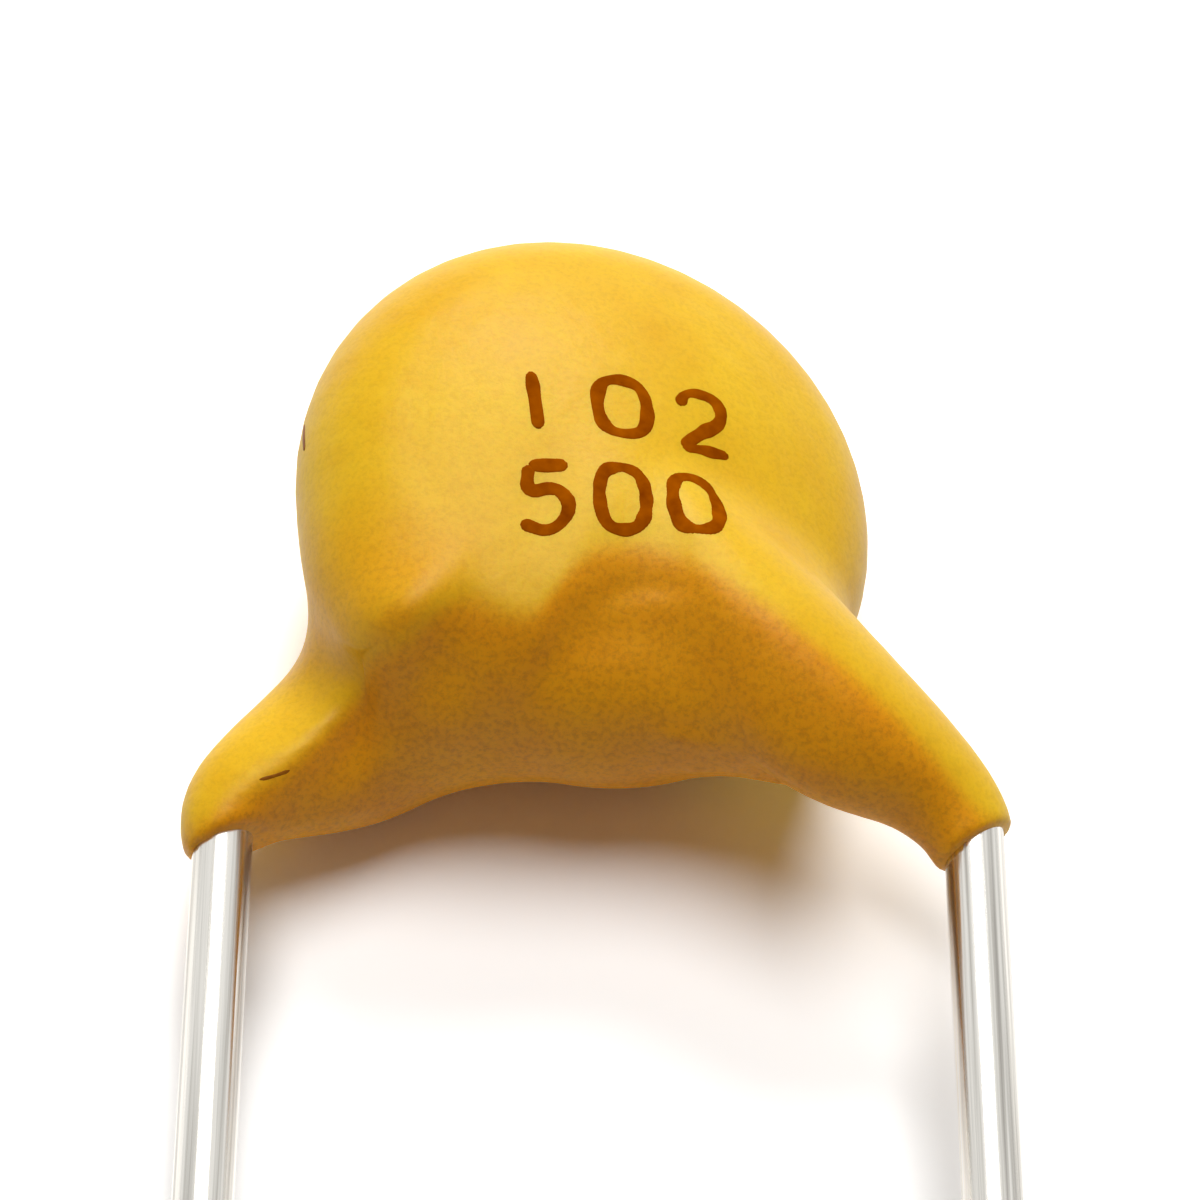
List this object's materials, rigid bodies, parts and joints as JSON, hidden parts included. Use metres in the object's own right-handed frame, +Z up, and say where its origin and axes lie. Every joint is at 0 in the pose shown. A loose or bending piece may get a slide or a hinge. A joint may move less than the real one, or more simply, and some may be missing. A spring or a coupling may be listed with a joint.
{
  "type": "ceramic disc capacitor",
  "caption": "Radial ceramic disc capacitor: a slanted ceramic disc dipped in mustard resin that runs down straight parallel tinned leads, for circuit board holes.",
  "frame": {"origin": "under the middle of the part's bounding box, on the surface it lies on", "axes": "+Y from the lead tips to the disc, +Z up, away from the surface, +X to the right seen from the lead tips"},
  "size_m": [0.0084, 0.027, 0.0036],
  "materials": {
    "coating_resin": "dipped resin, satin gloss",
    "tinned_wire": "bright tinned wire",
    "ceramic_body": "fired, matt",
    "silver_film": "fired silver film",
    "solder_joint": "dull solder"
  },
  "bodies": {
    "root": {"coating": "coating_resin", "right_lead": "tinned_wire", "left_lead": "tinned_wire", "ceramic_disc": "ceramic_body", "front_electrode": "silver_film", "rear_electrode": "silver_film", "front_solder": "solder_joint", "rear_solder": "solder_joint"}
  },
  "joints": []
}
